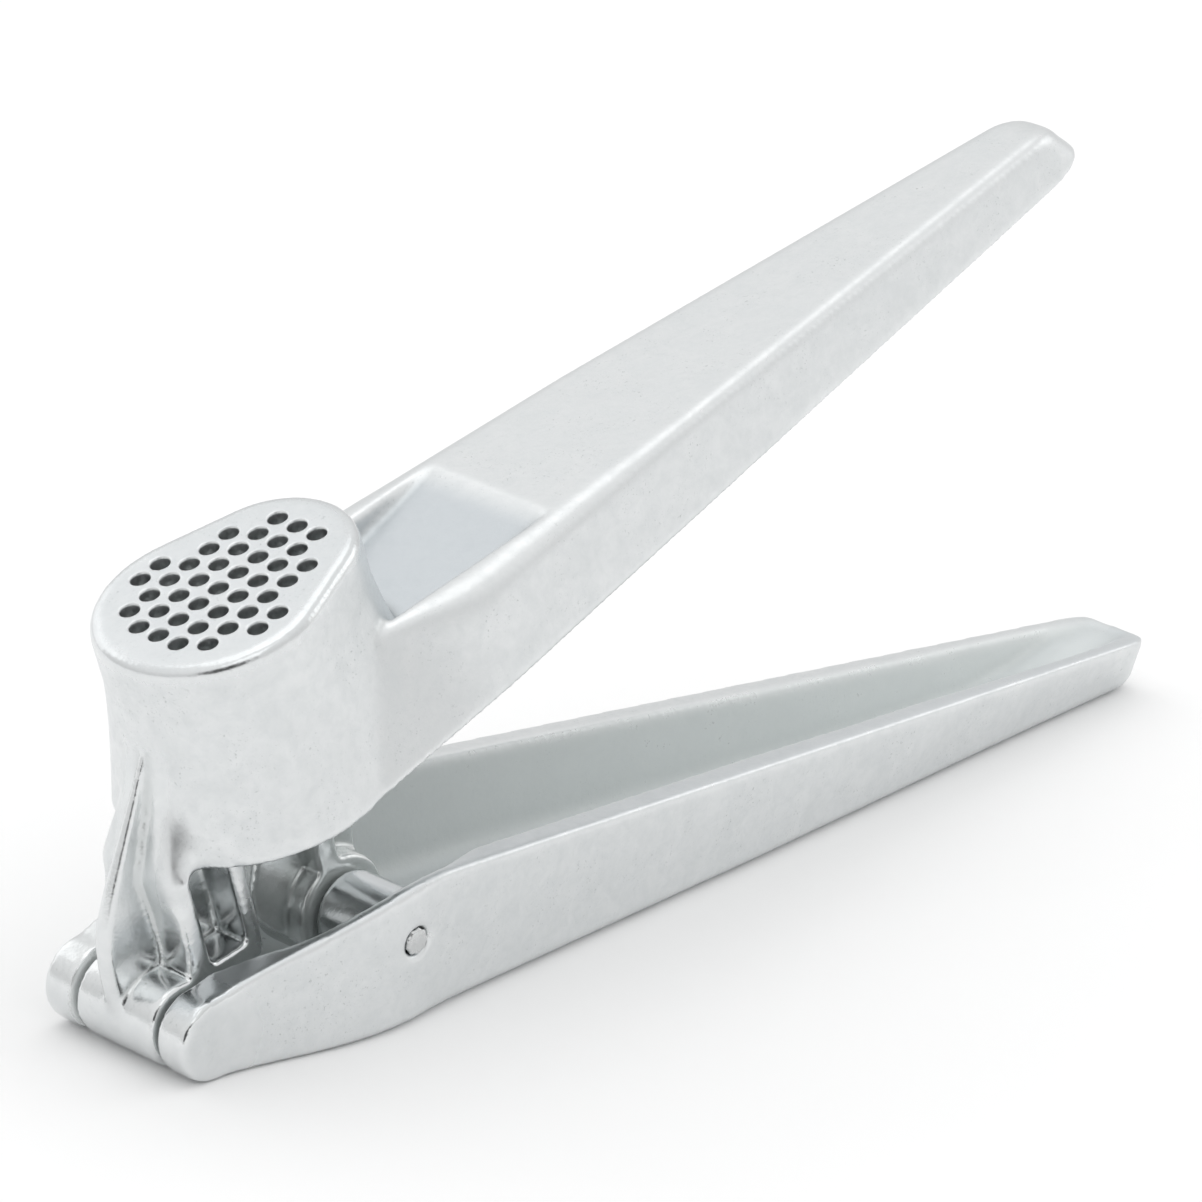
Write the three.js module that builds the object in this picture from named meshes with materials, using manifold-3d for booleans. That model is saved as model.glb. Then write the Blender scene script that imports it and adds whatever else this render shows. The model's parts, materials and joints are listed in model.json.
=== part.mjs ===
// Cast-aluminium garlic press, lying open on its lower handle with the grid of the cup facing up.
// Units are millimetres, +Z is up, and the model stands on Z = 0.
// Two castings turn on one hinge pin: the hopper handle (cup, grid, neck and upper handle) and the
// plunger handle (a tapered channel). A plunger swings on a second pin and presses into the cup.
import * as THREE from 'three';
import { mergeVertices } from 'three/addons/utils/BufferGeometryUtils.js';
import Module from 'manifold-3d';

const DEG = Math.PI / 180;

// Hinge: its axis is the Y axis of both castings' own frames.
const HINGE_RADIUS = 5.0;            // knuckles and lug
const HINGE_HALF_WIDTH = 11.4;       // outer faces of the knuckles
const LUG_HALF_WIDTH = 6.2;
const LUG_SIDE_GAP = 0.7;            // between the lug and each knuckle
const HINGE_PIN_RADIUS = 2.0;
const PIN_GAP = 0.3;                 // radial clearance around both pins
const PIN_BLIND_WALL = 1.4;          // metal left over the closed end of each pin's bore
const OPEN_ANGLE = 20.5 * DEG;       // the hopper handle's turn from the closed, parallel position

// Plunger handle: a channel with drafted walls.
const LOWER_LENGTH = 167.2;          // hinge axis to tip
const LOWER_WIDEST_AT = 27;          // where the hinge end has reached the full width
const LOWER_HALF_WIDTH = 16.6;       // half width at that place, along the rim
const LOWER_TIP_HALF_WIDTH = 5.8;
const LOWER_RIM_HEIGHT = 13.4;       // rim above the hinge axis at the widest place
const LOWER_TIP_RIM_HEIGHT = 2.3;
const LOWER_DRAFT = 0.085;           // inward lean of the walls, mm for each mm of height
const LOWER_HINGE_DRAFT = 0.01;      // the walls stand straighter beside the cup
const LOWER_TIP_DRAFT = 0.2;
const LOWER_BOTTOM_ROUND = 2.4;
const LOWER_HINGE_ROUND = 0.9;       // bottom corners at the hinge end
const LOWER_WALL = 3.6;
const LOWER_FRONT_WALL = 1.8;        // the walls are thin beside the cup
const LOWER_FLOOR = 2.6;
const LOWER_INNER_ROUND = 5.0;
const LOWER_INNER_HINGE_ROUND = 1.6;
const LOWER_END_WALL = 1.4;
const LOWER_TIP_ROUND_LENGTH = 3.0;  // the outside rounds off over this length
const LOWER_TIP_ROUND = 1.6;
const LOWER_RAMP_LENGTH = 24;        // the channel's floor rises to the rim over this length
const SLOT_LENGTH = 6.4;             // floor cut back from the hinge axis for the lug
const BOSS_RADIUS = 5.0;

// Plunger pin, in the plunger handle's frame.
const PLUNGER_PIN_X = 26.0;
const PLUNGER_PIN_Z = 5.7;
const PLUNGER_PIN_RADIUS = 1.4;
const BOSS_BITE = 1.4;               // distance from the rim's half width to the bosses' outer ends

// Cup and grid, in the hopper handle's frame.
const GRID_TOP = 41.0;               // grid face above the hinge axis
const GRID_THICKNESS = 2.4;
const CUP_X = 23.4;                  // centre of the cup's broad end
const CUP_RADIUS = 13.3;             // broad end, at the grid
const CUP_NARROW_OFFSET = 10.0;      // centre of the narrow end, toward the handle
const CUP_NARROW_RADIUS = 9.9;
const CUP_FLARE = 3.4;               // growth of the outside from the grid to the mouth
const CUP_FLARE_HEIGHT = 34.0;       // the outside is straight above this height
const CUP_MOUTH = 16.2;              // rim of the cup above the hinge axis
const CUP_WALL = 2.5;                // wall at the grid
const CUP_INNER_DRAFT = 0.07;
const CUP_EDGE_ROUND = 1.2;

// Holes of the grid: seven rows along the handle.
const HOLE_PITCH = 3.1;
const HOLE_RADIUS = 1.12;
const HOLE_ROWS = [                  // row from the middle, holes in it, first hole in pitches
  [0, 8, 0], [1, 8, 0], [2, 6, 0.5], [3, 2, 2],
];
const HOLE_START_X = 16.0;

// Upper handle: a channel that opens downward.
const UPPER_LENGTH = 161.0;          // hinge axis to the end of the top face
const UPPER_TIP_LENGTH = 5.0;        // the tip rounds off over this length
const UPPER_TIP_ROUND = 2.4;
const UPPER_TIP_LEAN = 2.8;          // the lower edge reaches this much farther than the top face
const UPPER_START = 26;
const UPPER_VALLEY = 34;             // the top face widens from here to the shoulder
const UPPER_VALLEY_HALF_WIDTH = 10.2;
const UPPER_SHOULDER = 50;
const UPPER_HALF_WIDTH = 13.8;       // top face, at the shoulder
const UPPER_TIP_HALF_WIDTH = 3.8;
const UPPER_START_EDGE_HALF_WIDTH = 16.4;
const UPPER_TOP = 29.2;              // top face above the hinge axis, at the shoulder
const UPPER_TIP_TOP = 19.5;
const UPPER_EDGE = 16.2;             // lower edge of the sides, at the shoulder
const UPPER_TIP_EDGE = 12.7;
const UPPER_DRAFT = 0.135;
const UPPER_VALLEY_ROUND = 1.2;      // top corners: small at the cup, broad at the shoulder
const UPPER_SHOULDER_ROUND = 3.2;
const UPPER_EDGE_ROUND = 1.4;        // and this from UPPER_ROUND_END to the tip
const UPPER_ROUND_END = 85;
const UPPER_WALL = 2.6;
const UPPER_TOP_WALL = 2.6;
const UPPER_CAVITY_START = 50;
const PANEL_END = 64.5;              // sunken panel behind the cup
const PANEL_HALF_WIDTH = 9.4;
const PANEL_SIDE_LEAN = 1.3;         // its sides lean inward by this much at the cup
const PANEL_START_DEPTH = 4.4;       // at the wall of the cup
const PANEL_END_DEPTH = 0.35;

// Neck: front flange, web and back flange. Each row is a height, front face, back face and half width.
const NECK_ROWS = [
  [3.4, 2.6, 6.2, 6.1], [7, 3.4, 6.2, 6.3], [12, 3.6, 6.2, 6.5], [16.4, 3.6, 6.2, 6.6],
];
const NECK_SHOULDER_ROWS = [
  [16.4, 3.6, 10.6, 6.6], [20, 5.6, 10.8, 5.6], [23.5, 7.6, 11.2, 4.0], [26.5, 8.8, 11.6, 2.4],
  [29.5, 9.8, 12, 0.9],
];
const NECK_WEB = 2.6;
const NECK_WEB_FRONT = 4.2;
const NECK_WEB_BACK = 12.6;
const NECK_WEB_FOOT = 2.4;           // height at which the web starts
const NECK_BACK = [[11.4, 1.6], [13.4, 0.8], [14.2, 15.4], [14, 17.4], [11, 17.4], [11.8, 13]];
const NECK_BACK_HALF_WIDTH = 6.3;
const NECK_FOOT = [[-1, 0], [1.6, 4.2], [6.2, 4], [12, 3.2], [13.4, 1.8], [13.4, 0.8], [3.4, -2.4]];
// Rib in front of the neck. Each row is a height, front face, back face and half thickness.
const RIB_ROWS = [
  [-0.4, -4.3, 5.2, 1.25], [6, -4.35, 5.2, 1.2], [9.7, -3.9, 5.2, 1.15], [12.8, -3, 5.2, 1.1],
  [16.2, -0.8, 5.2, 0.95], [18.5, 1, 5.2, 0.85], [21.5, 3.4, 11.5, 0.7], [25, 6.2, 11.5, 0.55],
  [28.9, 9.1, 11.5, 0.4], [30.2, 10.2, 11.5, 0.35],
];

// Plunger.
const CLOSED_ANGLE = -2 * DEG;       // the foot reaches the grid here
const FOOT_STOP_GAP = 0.4;           // left between the foot and the grid when closed
const FOOT_CLEARANCE = 0.55;         // around the foot, where the grid is
const FOOT_THICKNESS = 3.4;
const HUB_RADIUS = 6.4;
const HUB_HALF_WIDTH = 4.2;
const HUB_SIDE_GAP = 0.4;
const STEM_WEB = 3.0;

const wasm = await Module();
wasm.setup();

// A closed three.js geometry as a solid.
function solid(geometry) {
  const bare = geometry.clone();
  bare.deleteAttribute('normal');
  bare.deleteAttribute('uv');
  const merged = mergeVertices(bare, 1e-4);
  return new wasm.Manifold(new wasm.Mesh({
    numProp: 3,
    vertProperties: new Float32Array(merged.attributes.position.array),
    triVerts: new Uint32Array(merged.index.array),
  }));
}

// A solid back as a three.js geometry.
function toGeometry(body) {
  const mesh = body.getMesh();
  const geometry = new THREE.BufferGeometry();
  geometry.setAttribute('position', new THREE.BufferAttribute(new Float32Array(mesh.vertProperties), 3));
  geometry.setIndex(new THREE.BufferAttribute(new Uint32Array(mesh.triVerts), 1));
  geometry.computeVertexNormals();
  return geometry;
}

function named(name, geometry, colour, roughness) {
  const material = new THREE.MeshStandardMaterial({ color: colour, roughness, metalness: 1 });
  const mesh = new THREE.Mesh(geometry, material);
  mesh.name = name;
  return mesh;
}

function join(bodies) {
  return bodies.reduce((whole, body) => whole.add(body));
}

// A body through rings of points; each ring is convex and runs the same way round.
function loft(rings) {
  const count = rings[0].length;
  const points = rings.flat();
  const faces = [];
  for (let ring = 0; ring < rings.length - 1; ring++) {
    for (let i = 0; i < count; i++) {
      const a = ring * count + i;
      const b = ring * count + (i + 1) % count;
      faces.push(a, b, b + count, a, b + count, a + count);
    }
  }
  const last = (rings.length - 1) * count;
  for (let i = 1; i < count - 1; i++) {
    faces.push(0, i + 1, i, last, last + i, last + i + 1);
  }
  const geometry = new THREE.BufferGeometry();
  const coordinates = points.flatMap((p) => [p.x, p.y, p.z]);
  geometry.setAttribute('position', new THREE.Float32BufferAttribute(coordinates, 3));
  geometry.setIndex(faces);
  const body = solid(geometry);
  if (body.volume() >= 0) return body;
  const turned = [];
  for (let i = 0; i < faces.length; i += 3) turned.push(faces[i], faces[i + 2], faces[i + 1]);
  geometry.setIndex(turned);
  return solid(geometry);
}

// A cylinder along Y between two sides.
function barrel(radius, x, z, fromY, toY, segments = 40) {
  const geometry = new THREE.CylinderGeometry(radius, radius, toY - fromY, segments);
  geometry.translate(x, (fromY + toY) / 2, z);
  return solid(geometry);
}

function block(fromX, toX, fromY, toY, fromZ, toZ) {
  const geometry = new THREE.BoxGeometry(toX - fromX, toY - fromY, toZ - fromZ);
  geometry.translate((fromX + toX) / 2, (fromY + toY) / 2, (fromZ + toZ) / 2);
  return solid(geometry);
}

// An outline in X and Z, given as [x, z] corners, as a plate around the middle plane.
function plate(corners, halfWidth) {
  const shape = new THREE.Shape(corners.map(([x, z]) => new THREE.Vector2(x, z)));
  const geometry = new THREE.ExtrudeGeometry(shape, { depth: 2 * halfWidth, bevelEnabled: false });
  geometry.rotateX(Math.PI / 2);
  geometry.translate(0, halfWidth, 0);
  return solid(geometry);
}

function mix(from, to, share) {
  return from + (to - from) * share;
}

function smooth(from, to, value) {
  const share = Math.min(1, Math.max(0, (value - from) / (to - from)));
  return share * share * (3 - 2 * share);
}

function straight(from, to, value) {
  return (value - from) / (to - from);
}

// Section of a channel, seen along X: straight top, drafted sides and two round bottom corners.
function channelRing(x, halfWidth, top, bottom, draft, round, steps = 5) {
  const radius = Math.min(round, (top - bottom) * 0.45, halfWidth * 0.45);
  const low = halfWidth - draft * (top - bottom);
  const side = [];
  for (let i = 0; i <= steps; i++) {
    const angle = (i / steps) * Math.PI / 2;
    side.push([low - radius + radius * Math.cos(angle), bottom + radius - radius * Math.sin(angle)]);
  }
  const right = [[halfWidth, top], ...side];
  const left = right.map(([y, z]) => [-y, z]).reverse();
  return [...right, ...left].map(([y, z]) => new THREE.Vector3(x, y, z));
}

// Rim and sides of the plunger handle at a distance x from the hinge axis.
function lowerHalfWidth(x) {
  const tapered = mix(LOWER_HALF_WIDTH, LOWER_TIP_HALF_WIDTH,
    straight(LOWER_WIDEST_AT, LOWER_LENGTH, Math.max(x, LOWER_WIDEST_AT)));
  return mix(HINGE_HALF_WIDTH, tapered, smooth(-2, LOWER_WIDEST_AT, x));
}

function lowerRim(x) {
  const fall = mix(LOWER_RIM_HEIGHT, LOWER_TIP_RIM_HEIGHT, straight(LOWER_WIDEST_AT, LOWER_LENGTH, x));
  const climb = mix(HINGE_RADIUS, LOWER_RIM_HEIGHT, straight(0, LOWER_WIDEST_AT, x));
  const blend = 1.6;
  return Math.min(fall, climb) - Math.max(0, blend - Math.abs(fall - climb)) ** 2 / (4 * blend);
}

// The plunger pin is flush with the near wall and stops inside the far one.
function plungerPinEnds() {
  const half = lowerHalfWidth(PLUNGER_PIN_X);
  const wallFace = half - lowerDraft(PLUNGER_PIN_X) * (lowerRim(PLUNGER_PIN_X) - PLUNGER_PIN_Z);
  return [-wallFace + 0.1, wallFace - PIN_BLIND_WALL - PIN_GAP];
}

// Lean of the outer walls: straight beside the cup, more toward the tip.
function lowerDraft(x) {
  const behindHinge = mix(LOWER_HINGE_DRAFT, LOWER_DRAFT, smooth(10, 36, x));
  return mix(behindHinge, LOWER_TIP_DRAFT, smooth(LOWER_LENGTH * 0.5, LOWER_LENGTH, x));
}

function plungerHandle() {
  const bottom = -HINGE_RADIUS;
  const tipStart = LOWER_LENGTH - LOWER_TIP_ROUND_LENGTH;
  const stations = [0, 3, 6, 9, 12, 15, 18, 21, 24, 27, 30, 34, 40,
    ...[0.16, 0.4, 0.56, 0.72, 0.86].map((share) => mix(40, tipStart, share)),
    ...[0, 0.6, 0.87, 1].map((share) => mix(tipStart, LOWER_LENGTH, share))];
  const outer = loft(stations.map((x) => {
    const tipShare = Math.max(0, x - tipStart) / LOWER_TIP_ROUND_LENGTH;
    const inset = LOWER_TIP_ROUND * (1 - Math.sqrt(Math.max(0, 1 - tipShare * tipShare)));
    const round = mix(LOWER_HINGE_ROUND, LOWER_BOTTOM_ROUND, smooth(10, 36, x));
    return channelRing(x, lowerHalfWidth(x) - inset, lowerRim(x), bottom + inset, lowerDraft(x), round);
  }));
  const rampStart = LOWER_LENGTH - LOWER_END_WALL - LOWER_RAMP_LENGTH;
  const cavityEnd = LOWER_LENGTH - LOWER_END_WALL;
  const knuckleInner = LUG_HALF_WIDTH + LUG_SIDE_GAP;
  const above = 4;
  const insideStations = [SLOT_LENGTH - 3, 8, 11, 14, 18, 22, LOWER_WIDEST_AT, 31, 34.5, 38,
    ...[0.2, 0.5, 0.8].map((share) => mix(38, rampStart, share)),
    ...[0, 0.35, 0.7, 1].map((share) => mix(rampStart, cavityEnd, share))];
  const inner = loft(insideStations.map((x) => {
    const front = mix(HINGE_HALF_WIDTH - knuckleInner, LOWER_FRONT_WALL, smooth(SLOT_LENGTH - 3, 14, x));
    const wall = mix(front, LOWER_WALL, smooth(PLUNGER_PIN_X + BOSS_RADIUS, PLUNGER_PIN_X + 12, x));
    const thinning = mix(1, 0.55, smooth(LOWER_LENGTH * 0.6, LOWER_LENGTH, x));
    const half = lowerHalfWidth(x) - wall * thinning;
    const floor = bottom + LOWER_FLOOR;
    const rise = smooth(rampStart, cavityEnd, x) * (lowerRim(cavityEnd) - 0.5 - floor);
    const top = lowerRim(x) + above;
    const draft = Math.max(LOWER_DRAFT, lowerDraft(x));
    const round = mix(LOWER_INNER_HINGE_ROUND, LOWER_INNER_ROUND, smooth(8, LOWER_WIDEST_AT, x));
    return channelRing(x, half + draft * above, top, floor + rise, draft, round);
  }));
  const slot = block(-2 * HINGE_RADIUS, SLOT_LENGTH, -knuckleInner, knuckleInner,
    -3 * HINGE_RADIUS, 3 * HINGE_RADIUS);
  let body = outer.subtract(inner);
  const bossStart = HUB_HALF_WIDTH + HUB_SIDE_GAP;
  const bossEnd = lowerHalfWidth(PLUNGER_PIN_X) - BOSS_BITE;
  for (const side of [-1, 1]) {
    const [from, to] = side < 0 ? [-bossEnd, -bossStart] : [bossStart, bossEnd];
    body = body.add(barrel(BOSS_RADIUS, PLUNGER_PIN_X, PLUNGER_PIN_Z, from, to, 32));
    const [nearY, farY] = side < 0 ? [-HINGE_HALF_WIDTH, -knuckleInner] : [knuckleInner, HINGE_HALF_WIDTH];
    body = body.add(barrel(HINGE_RADIUS, 0, 0, nearY, farY, 48));
  }
  body = body.subtract(slot);
  const hingeBore = barrel(HINGE_PIN_RADIUS + PIN_GAP, 0, 0, -HINGE_HALF_WIDTH + PIN_BLIND_WALL,
    2 * HINGE_HALF_WIDTH, 28);
  const [, farEnd] = plungerPinEnds();
  const pinBore = barrel(PLUNGER_PIN_RADIUS + PIN_GAP, PLUNGER_PIN_X, PLUNGER_PIN_Z, -2 * LOWER_HALF_WIDTH,
    farEnd + PIN_GAP, 24);
  return body.subtract(hingeBore).subtract(pinBore);
}

// Egg-shaped ring at one height: a broad round end and a narrow one toward the handle.
function eggRing(z, broad, narrow, offset = CUP_NARROW_OFFSET, centre = CUP_X, segments = 52) {
  const lean = Math.asin((broad - narrow) / offset);
  const limit = Math.PI / 2 - lean;
  const half = segments / 2;
  const ring = [];
  for (let i = 0; i <= half; i++) {
    const angle = mix(-limit, limit, i / half);
    ring.push(new THREE.Vector3(centre + offset + narrow * Math.cos(angle), narrow * Math.sin(angle), z));
  }
  for (let i = 0; i <= half; i++) {
    const angle = mix(limit, 2 * Math.PI - limit, i / half);
    ring.push(new THREE.Vector3(centre + broad * Math.cos(angle), broad * Math.sin(angle), z));
  }
  return ring;
}

function cupOutside() {
  const rings = [];
  const flareSteps = 5;
  for (let i = 0; i <= flareSteps; i++) {
    const z = mix(CUP_MOUTH, CUP_FLARE_HEIGHT, i / flareSteps);
    const spread = CUP_FLARE * (1 - i / flareSteps) ** 1.25;
    rings.push(eggRing(z, CUP_RADIUS + spread, CUP_NARROW_RADIUS + spread));
  }
  rings.push(eggRing(GRID_TOP - CUP_EDGE_ROUND, CUP_RADIUS, CUP_NARROW_RADIUS));
  for (let i = 1; i <= 4; i++) {
    const angle = (i / 4) * Math.PI / 2;
    const inset = CUP_EDGE_ROUND * (1 - Math.cos(angle));
    const z = GRID_TOP - CUP_EDGE_ROUND + CUP_EDGE_ROUND * Math.sin(angle);
    rings.push(eggRing(z, CUP_RADIUS - inset, CUP_NARROW_RADIUS - inset));
  }
  return loft(rings);
}

function cupInside() {
  const ceiling = GRID_TOP - GRID_THICKNESS;
  const rings = [CUP_MOUTH - 1, ceiling].map((z) => {
    const spread = CUP_INNER_DRAFT * (ceiling - z) - CUP_WALL;
    return eggRing(z, CUP_RADIUS + spread, CUP_NARROW_RADIUS + spread);
  });
  return loft(rings);
}

function gridHoles() {
  const holes = [];
  for (const [row, count, first] of HOLE_ROWS) {
    const sides = row === 0 ? [0] : [-1, 1];
    for (const side of sides) {
      for (let i = 0; i < count; i++) {
        const geometry = new THREE.CylinderGeometry(HOLE_RADIUS, HOLE_RADIUS, 3 * GRID_THICKNESS, 12);
        geometry.rotateX(Math.PI / 2);
        const x = HOLE_START_X + (first + i) * HOLE_PITCH;
        geometry.translate(x, side * row * HOLE_PITCH, GRID_TOP - GRID_THICKNESS / 2);
        holes.push(solid(geometry));
      }
    }
  }
  return join(holes);
}

// Upper handle's sizes at a distance x from the hinge axis.
function upperShare(x) {
  return Math.max(0, straight(UPPER_SHOULDER, UPPER_LENGTH, x));
}

function upperHalfWidth(x) {
  const tapered = mix(UPPER_HALF_WIDTH, UPPER_TIP_HALF_WIDTH, upperShare(x));
  return mix(UPPER_VALLEY_HALF_WIDTH, tapered, smooth(UPPER_VALLEY, UPPER_SHOULDER, x));
}

function upperRound(x) {
  const atShoulder = mix(UPPER_VALLEY_ROUND, UPPER_SHOULDER_ROUND, smooth(UPPER_VALLEY, UPPER_SHOULDER, x));
  return mix(atShoulder, UPPER_EDGE_ROUND, smooth(UPPER_SHOULDER, UPPER_ROUND_END, x));
}

function upperTop(x) {
  return mix(UPPER_TOP, UPPER_TIP_TOP, straight(UPPER_SHOULDER, UPPER_LENGTH, x));
}

function upperEdge(x) {
  return mix(UPPER_EDGE, UPPER_TIP_EDGE, upperShare(x));
}

function upperEdgeHalfWidth(x) {
  const atShoulder = UPPER_HALF_WIDTH + UPPER_DRAFT * (UPPER_TOP - UPPER_EDGE);
  const atTip = UPPER_TIP_HALF_WIDTH + UPPER_DRAFT * (UPPER_TIP_TOP - UPPER_TIP_EDGE);
  if (x < UPPER_SHOULDER) {
    return mix(UPPER_START_EDGE_HALF_WIDTH, atShoulder, straight(UPPER_START, UPPER_SHOULDER, x));
  }
  return mix(atShoulder, atTip, upperShare(x));
}

// Section of the upper handle: two round top corners and sides that spread downward. The lean moves
// the lower edge farther along X than the top.
function hoodRing(x, halfWidth, edgeHalfWidth, top, edge, round, lean = 0, steps = 4) {
  const radius = Math.min(round, halfWidth * 0.8, (top - edge) * 0.5);
  const right = [[edgeHalfWidth, edge]];
  for (let i = 0; i <= steps; i++) {
    const angle = (i / steps) * Math.PI / 2;
    right.push([halfWidth - radius + radius * Math.cos(angle), top - radius + radius * Math.sin(angle)]);
  }
  const left = right.map(([y, z]) => [-y, z]).reverse();
  return [...right, ...left].map(([y, z]) => new THREE.Vector3(x + lean * (top - z) / (top - edge), y, z));
}

function upperOutside() {
  const tipStart = UPPER_LENGTH - UPPER_TIP_LENGTH;
  const stations = [UPPER_START, 30, UPPER_VALLEY, 36, 38, 40, 42, 44, 46, 48, UPPER_SHOULDER,
    ...[0.1, 0.35, 0.65, 0.9].map((share) => mix(UPPER_SHOULDER, tipStart, share)),
    ...[0, 0.3, 0.6, 0.8, 0.92, 1].map((share) => tipStart + share * UPPER_TIP_LENGTH)];
  return loft(stations.map((x) => {
    const share = Math.min(1, Math.max(0, x - tipStart) / UPPER_TIP_LENGTH);
    const inset = UPPER_TIP_ROUND * (1 - Math.sqrt(1 - share * share));
    return hoodRing(x, upperHalfWidth(x) - inset, upperEdgeHalfWidth(x) - inset, upperTop(x) - 0.7 * inset,
      upperEdge(x) + 0.5 * inset, upperRound(x), UPPER_TIP_LEAN * share);
  }));
}

// Depth of the sunken panel: most at the cup, almost nothing at its far end.
function panelDepth(x) {
  const cupBack = CUP_X + CUP_NARROW_OFFSET + CUP_NARROW_RADIUS;
  return mix(PANEL_START_DEPTH, PANEL_END_DEPTH, straight(cupBack, PANEL_END, x));
}

function upperInside() {
  const end = UPPER_LENGTH - UPPER_TIP_LENGTH - 1;
  const plain = PANEL_END + 4;
  const plainStations = [0, 0.3, 0.65, 1].map((share) => mix(plain, end, share));
  const stations = [UPPER_CAVITY_START, PANEL_END, ...plainStations];
  return loft(stations.map((x) => {
    const edge = upperEdge(x) - 3;
    const sunken = x > PANEL_END ? 0 : panelDepth(x);
    const top = upperTop(x) - UPPER_TOP_WALL - sunken;
    const half = Math.max(1.2, upperHalfWidth(x) - UPPER_WALL);
    return hoodRing(x, half, half + UPPER_DRAFT * (top - edge), top, edge, 2.2);
  }));
}

// Sunken panel in the top face: its floor falls toward the cup.
function panel() {
  const rings = [UPPER_START, PANEL_END].map((x) => {
    const floor = upperTop(x) - panelDepth(x);
    const above = upperTop(x) + 4;
    const low = PANEL_HALF_WIDTH - PANEL_SIDE_LEAN * panelDepth(x) / PANEL_START_DEPTH;
    const high = PANEL_HALF_WIDTH + 0.8;
    return [[low, floor], [high, above], [-high, above], [-low, floor]]
      .map(([y, z]) => new THREE.Vector3(x, y, z));
  });
  return loft(rings);
}

// A body through rectangles, from rows of height, front face, back face and half width.
function column(rows) {
  return loft(rows.map(([z, front, back, half]) => {
    const corners = [[front, -half], [back, -half], [back, half], [front, half]];
    return corners.map(([x, y]) => new THREE.Vector3(x, y, z));
  }));
}

function neck() {
  const web = block(NECK_WEB_FRONT, NECK_WEB_BACK, -NECK_WEB / 2, NECK_WEB / 2, NECK_WEB_FOOT, CUP_MOUTH + 2);
  return join([column(NECK_ROWS), column(NECK_SHOULDER_ROWS), web, column(RIB_ROWS),
    plate(NECK_BACK, NECK_BACK_HALF_WIDTH), plate(NECK_FOOT, LUG_HALF_WIDTH)]);
}

function hopperHandle() {
  const lug = barrel(HINGE_RADIUS, 0, 0, -LUG_HALF_WIDTH, LUG_HALF_WIDTH, 48);
  const bore = barrel(HINGE_PIN_RADIUS + PIN_GAP, 0, 0, -LUG_HALF_WIDTH - 2, LUG_HALF_WIDTH + 2, 28);
  const handle = upperOutside().subtract(panel()).subtract(upperInside());
  return join([cupOutside(), handle, neck(), lug]).subtract(cupInside()).subtract(gridHoles()).subtract(bore);
}

// Plunger, in a frame whose origin is the plunger pin's axis and whose Z axis points at the grid.
function plunger() {
  const pinHeight = PLUNGER_PIN_Z * Math.cos(CLOSED_ANGLE) - PLUNGER_PIN_X * Math.sin(CLOSED_ANGLE);
  const top = GRID_TOP - GRID_THICKNESS - pinHeight - FOOT_STOP_GAP;
  const reach = top - FOOT_THICKNESS;
  const centre = CUP_X - PLUNGER_PIN_X;
  const broad = CUP_RADIUS - CUP_WALL - FOOT_CLEARANCE;
  const narrow = CUP_NARROW_RADIUS - CUP_WALL - FOOT_CLEARANCE;
  const ring = (z, inset) => eggRing(z, broad - inset, narrow - inset, CUP_NARROW_OFFSET, centre, 44);
  const foot = loft([ring(reach, 0.9), ring(reach + 1.2, 0), ring(top - 0.8, 0), ring(top, 0.5)]);
  const hub = barrel(HUB_RADIUS, 0, 0, -HUB_HALF_WIDTH, HUB_HALF_WIDTH, 40);
  const web = plate([[-4.4, -3.4], [-8, 1.2], [-10, 4.6], [-9.6, 8], [-7.6, 12], [-7.6, reach + 1],
    [12.4, reach + 1], [9.4, 14], [6.2, 5], [5, -3]], STEM_WEB / 2);
  const cross = loft([[0, 4.2], [8, 4.2], [17, 6.2], [reach + 1, 6]].map(([z, half]) =>
    [[-1.6, -half], [1.6, -half], [1.6, half], [-1.6, half]].map(([x, y]) => new THREE.Vector3(x, y, z))));
  const bore = barrel(PLUNGER_PIN_RADIUS + PIN_GAP, 0, 0, -HUB_HALF_WIDTH - 2, HUB_HALF_WIDTH + 2, 24);
  return join([foot, hub, web, cross]).subtract(bore);
}

const press = new THREE.Group();
press.position.z = HINGE_RADIUS;

const lowerColour = 0xd2d6d6;
press.add(named('plunger_handle', toGeometry(plungerHandle()), lowerColour, 0.34));

const upper = new THREE.Group();
upper.rotation.y = -OPEN_ANGLE;
upper.add(named('hopper_handle', toGeometry(hopperHandle()), 0xd8dbdb, 0.34));
press.add(upper);

const hingePinLength = 2 * HINGE_HALF_WIDTH - PIN_BLIND_WALL - 0.5;
const hingePin = new THREE.CylinderGeometry(HINGE_PIN_RADIUS, HINGE_PIN_RADIUS, hingePinLength, 28);
hingePin.translate(0, (PIN_BLIND_WALL + 0.3) / 2, 0);
press.add(named('hinge_pin', hingePin, 0xb9bdbd, 0.3));

const [pinNear, pinFar] = plungerPinEnds();
const plungerPin = new THREE.CylinderGeometry(PLUNGER_PIN_RADIUS, PLUNGER_PIN_RADIUS, pinFar - pinNear, 24);
plungerPin.translate(PLUNGER_PIN_X, (pinNear + pinFar) / 2, PLUNGER_PIN_Z);
press.add(named('plunger_pin', plungerPin, 0xc6caca, 0.3));

const presser = named('plunger', toGeometry(plunger()), 0xc2c7c7, 0.36);
presser.position.set(PLUNGER_PIN_X, 0, PLUNGER_PIN_Z);
presser.rotation.y = -OPEN_ANGLE;
press.add(presser);

const group = new THREE.Group();
group.add(press);
group.updateMatrixWorld(true);
const box = new THREE.Box3().setFromObject(group, true);
group.position.x = -(box.min.x + box.max.x) / 2;

export default group;
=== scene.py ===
import json
import math

import bmesh
import bpy
import numpy as np
from mathutils import Euler, Matrix, Vector


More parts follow.
